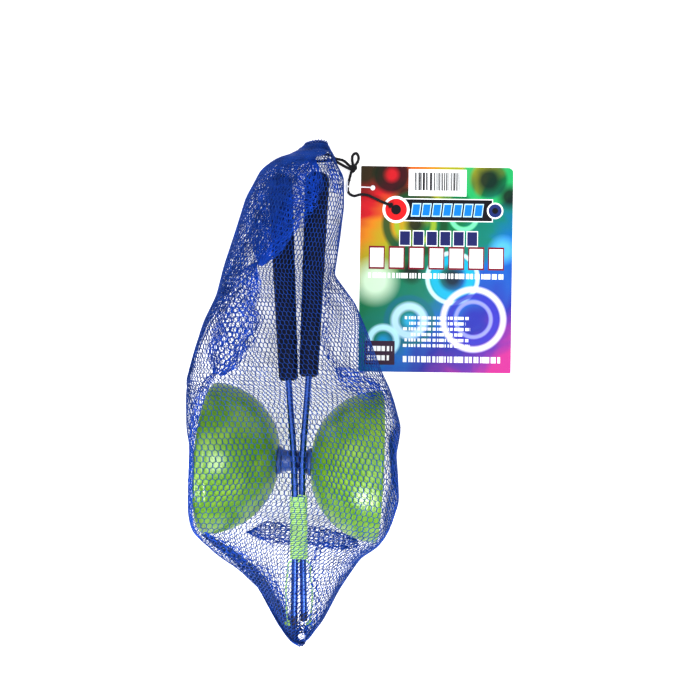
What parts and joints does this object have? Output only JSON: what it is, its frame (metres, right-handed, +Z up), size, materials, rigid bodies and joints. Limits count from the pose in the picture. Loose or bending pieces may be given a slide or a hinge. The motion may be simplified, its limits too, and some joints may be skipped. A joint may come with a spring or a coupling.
{
  "type": "diabolo set in a net bag",
  "caption": "Rubber diabolo with aluminium handsticks and wound string, packed flat in a knitted net bag with a drawstring and a printed hang card.",
  "frame": {"origin": "on the surface the set lies on, directly under the middle of the diabolo's axle", "axes": "+X along the diabolo's axle towards the right cup, +Y from the bag's closed tip towards its mouth, +Z up"},
  "size_m": [0.2395, 0.3486, 0.113],
  "materials": {
    "cup_rubber": "satin moulded rubber",
    "hub_plastic": "moulded, semi-gloss",
    "plated_steel": "zinc plated",
    "rod_aluminium": "blue anodised",
    "grip_rubber": "matt, fine grained",
    "cap_plastic": "matt moulded",
    "play_string": "braided cord",
    "net_yarn": "knitted yarn",
    "drawstring_cord": "braided cord",
    "printed_card": "glossy print",
    "pin_nylon": "translucent white"
  },
  "bodies": {
    "bag": {"net_bag": "net_yarn", "drawstring_ring": "drawstring_cord", "drawstring_lead": "drawstring_cord", "drawstring_bow": "drawstring_cord", "drawstring_tail": "drawstring_cord", "drawstring_knot": "drawstring_cord", "tag_pin": "pin_nylon"},
    "diabolo": {"left_cup": "cup_rubber", "right_cup": "cup_rubber", "hub_spool": "hub_plastic", "left_hub_collar": "hub_plastic", "right_hub_collar": "hub_plastic", "axle_rod": "plated_steel", "left_inner_washer": "plated_steel", "right_inner_washer": "plated_steel", "left_axle_nut": "plated_steel", "right_axle_nut": "plated_steel"},
    "handsticks": {"left_rod": "rod_aluminium", "left_grip": "grip_rubber", "left_grip_cap": "cap_plastic", "left_rod_tip": "cap_plastic", "right_rod": "rod_aluminium", "right_grip": "grip_rubber", "right_grip_cap": "cap_plastic", "right_rod_tip": "cap_plastic", "string_winding": "play_string", "string_lead_left": "play_string", "string_lead_right": "play_string", "left_string_knot": "play_string", "right_string_knot": "play_string"},
    "card": {"hang_card": "printed_card"}
  },
  "joints": [
    {"name": "diabolo_spin", "type": "hinge", "parent": "bag", "child": "diabolo", "pos_m": [0, 0, 0.0538], "axis": [1, 0, 0], "continuous": true},
    {"name": "handsticks_swing", "type": "hinge", "parent": "bag", "child": "handsticks", "pos_m": [0.0031, 0, 0.0634], "axis": [0, 0, 1], "range_deg": [-1.1, 0]},
    {"name": "card_swing", "type": "hinge", "parent": "bag", "child": "card", "pos_m": [0.04599, 0.20881, 0.0006], "axis": [0, 0, 1], "range_deg": [0, 45]}
  ]
}
